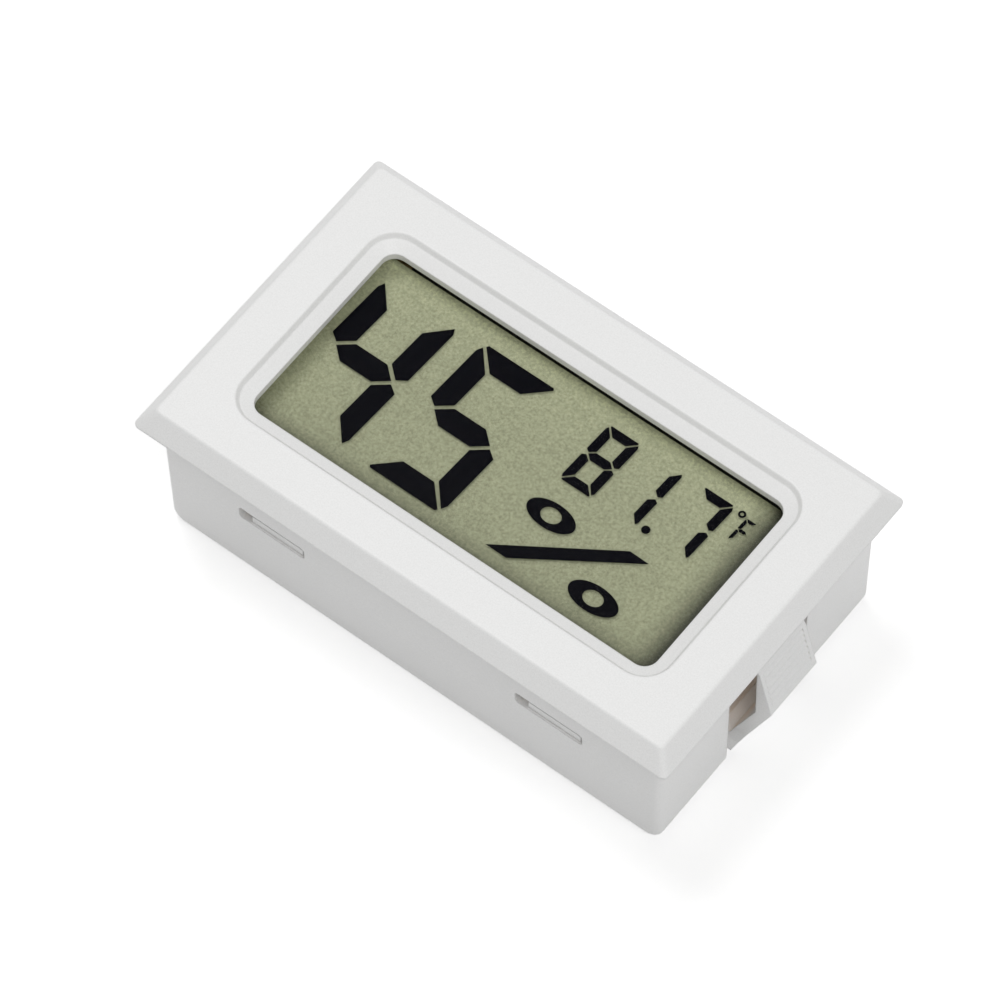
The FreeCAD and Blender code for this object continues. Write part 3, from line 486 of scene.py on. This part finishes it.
# Circuit board: brown paper laminate, punched to shape and held under the display by the shell's
# ribs. The bare chip on it is covered by a drop of black epoxy that was poured and cured.
laminate, tree, shader = new_finish("phenolic_board", (0.45, 0.3, 0.16), 0.5)
fibres = grain(tree, 900, 4, stretch=(1, 6, 1))
paper_colour = tint(tree, spread(tree, fibres, 0, 1), (0.33, 0.19, 0.085), (0.50, 0.33, 0.17))
tree.links.new(paper_colour, shader.inputs["Base Color"])
tree.links.new(spread(tree, fibres, 0.42, 0.6), shader.inputs["Roughness"])
relief(tree, shader, fibres, 0.00002, soft_edge=0.00008)
dress(nodes["circuit_board"], laminate)

epoxy, tree, shader = new_finish("black_epoxy", (0.03, 0.03, 0.035), 0.25)
ripple = grain(tree, 500, 2)
poured_colour = tint(tree, ripple, (0.02, 0.02, 0.022), (0.045, 0.045, 0.05))
tree.links.new(poured_colour, shader.inputs["Base Color"])
tree.links.new(spread(tree, ripple, 0.18, 0.32), shader.inputs["Roughness"])
relief(tree, shader, ripple, 0.00008, soft_edge=0.0003)
for name in ("chip_epoxy", "thermistor_bead", "smd_resistors"):
    dress(nodes[name], epoxy)


# Humidity sensor and ceramic capacitors: fired ceramic, pale and slightly mottled. The sensor hangs
# from two tinned wires over the vents, and the thermistor bead hangs in the other end.
ceramic, tree, shader = new_finish("sensor_ceramic", (0.72, 0.68, 0.6), 0.55)
mottle = grain(tree, 1500, 4)
fired_colour = tint(tree, spread(tree, mottle, 0, 1), (0.62, 0.57, 0.48), (0.76, 0.72, 0.64))
tree.links.new(fired_colour, shader.inputs["Base Color"])
relief(tree, shader, mottle, 0.00002, soft_edge=0.0001)
wire, tree, shader = new_finish("tinned_wire", (0.75, 0.75, 0.74), 0.32)
shader.inputs["Metallic"].default_value = 1.0
drawn = grain(tree, 3000, 3, stretch=(1, 1, 0.1))
tree.links.new(spread(tree, drawn, 0.24, 0.42), shader.inputs["Roughness"])
relief(tree, shader, drawn, 0.00001)
for names, finish, slot in ((("humidity_sensor", "smd_capacitors"), ceramic, "sensor_ceramic"),
                            (("humidity_sensor_leads", "thermistor_leads"), wire, "tinned_wire")):
    for name in names:
        dress(nodes[name], finish)


# Button cells and their contacts: nickel-plated steel cans with a spun finish, held by leaf springs
# and side clips that are cut from spring-steel strip and soldered to the board's back.
plus_reach = 2.2
plus_half = 0.35
strip, tree, shader = new_finish("contact_steel", (0.76, 0.75, 0.72), 0.3)
shader.inputs["Metallic"].default_value = 1.0
rolled = grain(tree, 2500, 4, stretch=(0.08, 1, 1))
tree.links.new(spread(tree, rolled, 0.22, 0.42), shader.inputs["Roughness"])
relief(tree, shader, rolled, 0.000004, soft_edge=0.00006)
etched, tree, shader = new_finish("etched_mark", (0.3, 0.3, 0.3), 0.5)
shader.inputs["Metallic"].default_value = 1.0
tree.links.new(spread(tree, grain(tree, 6000), 0.45, 0.6), shader.inputs["Roughness"])
for side in ("a", "b"):
    low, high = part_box(f"button_cell_{side}")
    axis_x = (low.x + high.x) / 2
    # rings of fine turning marks round the can's own axis
    can, tree, shader = new_finish(f"cell_steel_{side}", (0.78, 0.78, 0.77), 0.24)
    shader.inputs["Metallic"].default_value = 1.0
    radius = tree.nodes.new("ShaderNodeVectorMath")
    radius.operation = "DISTANCE"
    radius.inputs[1].default_value = (axis_x, 0, low.z)
    tree.links.new(place_of(tree), radius.inputs[0])
    rings = tree.nodes.new("ShaderNodeTexNoise")
    rings.noise_dimensions = "1D"
    rings.inputs["Scale"].default_value = 4000
    tree.links.new(radius.outputs["Value"], rings.inputs["W"])
    tree.links.new(spread(tree, rings.outputs["Fac"], 0.18, 0.32), shader.inputs["Roughness"])
    relief(tree, shader, rings.outputs["Fac"], 0.0000004, soft_edge=0.0001)
    dress(nodes[f"button_cell_{side}"], can)
    # a plus sign is etched on the can's flat, the side towards the door
    corner = [(plus_half, plus_reach), (plus_half, plus_half), (plus_reach, plus_half)]
    plus = corner + [(x, -y) for x, y in reversed(corner)]
    plus += [(-x, y) for x, y in reversed(plus)]
    outline = [(axis_x / mm + x, y) for x, y in plus]
    mark = thin_layer(f"plus_mark_{side}", low.z - crystal_depth / 2, [outline])
    dress(mark, etched)
    for name in (f"negative_contact_{side}", f"positive_contact_{side}"):
        dress(nodes[name], strip)


# Solder joints: a small bright cone of tin where each wire meets the board's back, drawn up the
# wire while it was hot.
solder, tree, shader = new_finish("solder", (0.8, 0.8, 0.79), 0.22)
shader.inputs["Metallic"].default_value = 1.0
wet = grain(tree, 2000, 3)
tree.links.new(spread(tree, wet, 0.16, 0.34), shader.inputs["Roughness"])
relief(tree, shader, wet, 0.00001)
cone = [(2.6, 0.0), (1.9, 0.3), (1.35, 0.9), (1.0, 2.2)]
cone_steps = 20
build = bmesh.new()
for leads in ("humidity_sensor_leads", "thermistor_leads"):
    low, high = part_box(leads)
    wire_radius = (high.x - low.x) / 2
    for y in (low.y + wire_radius, high.y - wire_radius):
        rows = []
        for reach, depth in cone:
            turns = [2 * math.pi * step / cone_steps for step in range(cone_steps)]
            rows.append([build.verts.new((low.x + wire_radius * (1 + reach * math.cos(turn)),
                                          y + wire_radius * reach * math.sin(turn),
                                          high.z - wire_radius * depth)) for turn in turns])
        for upper_row, lower_row in zip(rows, rows[1:]):
            for i in range(cone_steps):
                j = (i + 1) % cone_steps
                build.faces.new((upper_row[i], upper_row[j], lower_row[j], lower_row[i]))
        build.faces.new(rows[0])
        build.faces.new(rows[-1])
bmesh.ops.recalc_face_normals(build, faces=build.faces)
for face in build.faces:
    face.smooth = len(face.verts) == 4
mesh = bpy.data.meshes.new("solder_joints")
build.to_mesh(mesh)
build.free()
joints = bpy.data.objects.new("solder_joints", mesh)
bpy.context.scene.collection.objects.link(joints)
dress(joints, solder)
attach(joints, "housing")


bpy.context.scene.view_settings.view_transform = "Standard"
